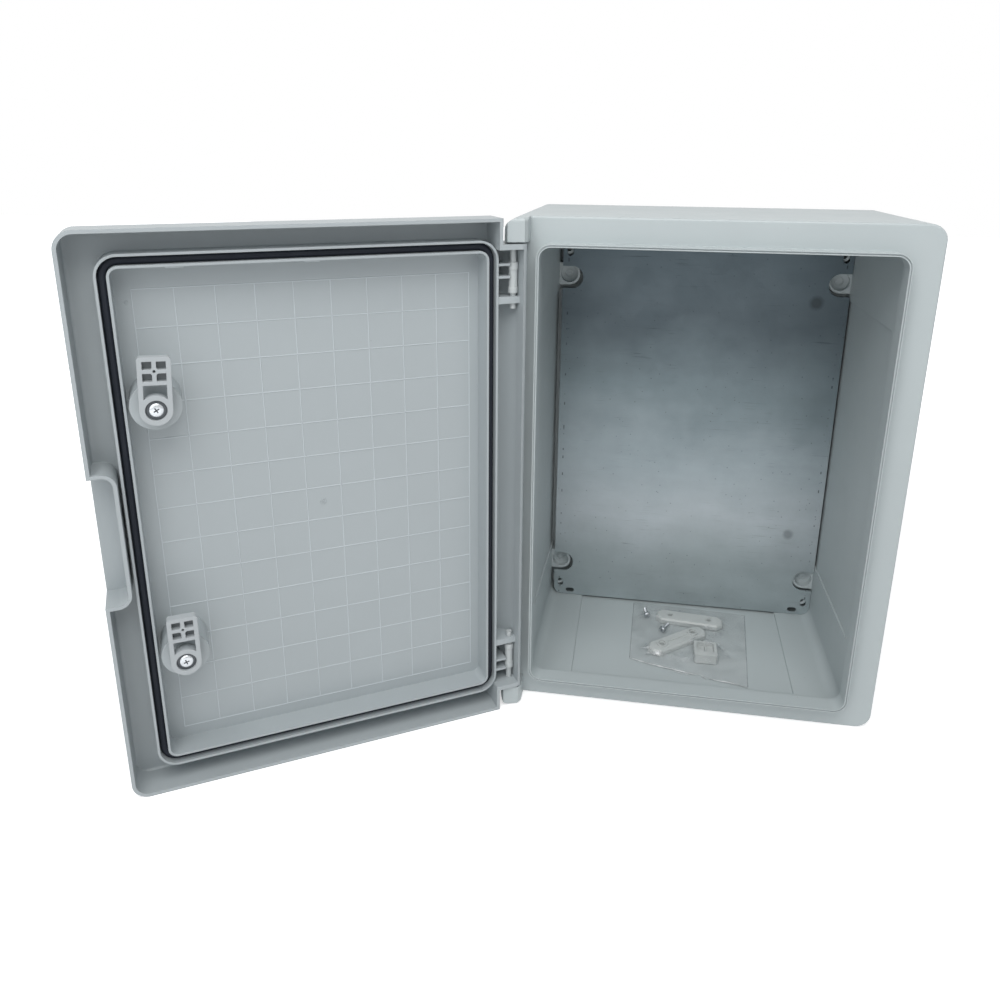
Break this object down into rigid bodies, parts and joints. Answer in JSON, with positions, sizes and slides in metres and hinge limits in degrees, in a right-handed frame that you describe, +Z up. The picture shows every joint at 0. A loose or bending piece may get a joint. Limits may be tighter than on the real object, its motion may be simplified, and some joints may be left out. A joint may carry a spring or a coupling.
{
  "type": "wall enclosure",
  "caption": "Wall-mounted plastic enclosure with a hinged door standing open, cam locks, a sealing ring, a steel mounting plate and a bagged fixing kit on its floor.",
  "frame": {"origin": "on the wall plane, at the centre of the wall fixing holes", "axes": "+Z up, +Y into the wall, the opening faces -Y, +X to the right seen from the front"},
  "size_m": [0.5518, 0.3402, 0.4],
  "materials": {
    "body_plastic": "satin moulded",
    "door_plastic": "satin moulded",
    "zinc_plate": "galvanised, mottled",
    "seal_rubber": "matt foam rubber",
    "pin_plastic": "satin",
    "insert_plastic": "satin",
    "cam_plastic": "satin moulded",
    "plated_screw": "bright plated",
    "clear_film": "clear polythene",
    "kit_plastic": "satin moulded"
  },
  "bodies": {
    "enclosure": {"body_shell": "body_plastic", "mounting_plate": "zinc_plate", "kit_bag": "clear_film", "kit_bracket_front": "kit_plastic", "kit_bracket_back": "kit_plastic", "kit_cap": "kit_plastic", "kit_screw_a": "plated_screw", "kit_screw_b": "plated_screw"},
    "door": {"door_panel": "door_plastic", "door_gasket": "seal_rubber", "hinge_pin_upper": "pin_plastic", "hinge_pin_lower": "pin_plastic"},
    "lock_upper": {"lock_insert_upper": "insert_plastic", "lock_seal_upper": "seal_rubber", "lock_cam_upper": "cam_plastic", "cam_screw_upper": "plated_screw"},
    "lock_lower": {"lock_insert_lower": "insert_plastic", "lock_seal_lower": "seal_rubber", "lock_cam_lower": "cam_plastic", "cam_screw_lower": "plated_screw"}
  },
  "joints": [
    {"name": "door_hinge", "type": "hinge", "parent": "enclosure", "child": "door", "pos_m": [-0.1437, -0.177, 0.0052], "axis": [0, 0, -1], "range_deg": [-148.5, 1]},
    {"name": "lock_upper_turn", "type": "hinge", "parent": "door", "child": "lock_upper", "pos_m": [-0.35507, -0.30653, 0.0952], "axis": [0.5225, -0.8526, 0], "range_deg": [0, 93]},
    {"name": "lock_lower_turn", "type": "hinge", "parent": "door", "child": "lock_lower", "pos_m": [-0.35507, -0.30653, -0.0848], "axis": [0.5225, -0.8526, 0], "range_deg": [0, 90]}
  ]
}
